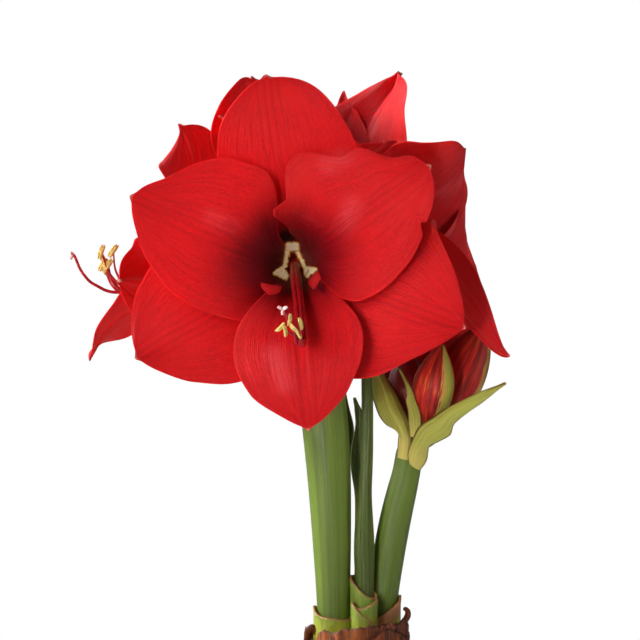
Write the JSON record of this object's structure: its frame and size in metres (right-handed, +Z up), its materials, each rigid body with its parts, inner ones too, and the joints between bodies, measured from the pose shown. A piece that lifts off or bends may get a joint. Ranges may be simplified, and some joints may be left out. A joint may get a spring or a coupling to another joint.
{
  "type": "potted amaryllis",
  "caption": "Red amaryllis in a round clay pot: a bulb with an upright stem of wide open trumpet flowers, a second stem in bud, and strap leaves.",
  "frame": {"origin": "centre of the pot's flat base, on the surface that it stands on", "axes": "+Z up along the pot's axis, +X to the right and -Y toward the viewer, the way the front flower faces"},
  "size_m": [0.263, 0.2422, 0.5256],
  "materials": {
    "terracotta": "matte",
    "soil": "matte",
    "bulb_tunic": "satin",
    "neck_sheath": "satin",
    "stem_green": "satin",
    "leaf_green": "satin",
    "bud_red": "satin",
    "bract_olive": "satin",
    "petal_red": "satin",
    "stamen_red": "satin"
  },
  "bodies": {
    "root": {"pot": "terracotta", "potting_soil": "soil", "bulb": "bulb_tunic", "neck_sheaths": "neck_sheath", "stem_left": "stem_green", "stem_right": "stem_green", "leaf_front": "leaf_green", "leaf_dark": "leaf_green", "leaf_behind": "leaf_green", "bud_front": "bud_red", "bud_right": "bud_red", "bud_left": "bud_red", "bract_left": "bract_olive", "bract_right": "bract_olive", "bract_narrow": "bract_olive", "flower_front": "petal_red", "flower_left": "petal_red", "flower_right": "petal_red", "flower_back": "petal_red", "stamens_front": "stamen_red", "stamens_left": "stamen_red", "stamens_right": "stamen_red", "stamens_back": "stamen_red"}
  },
  "joints": []
}
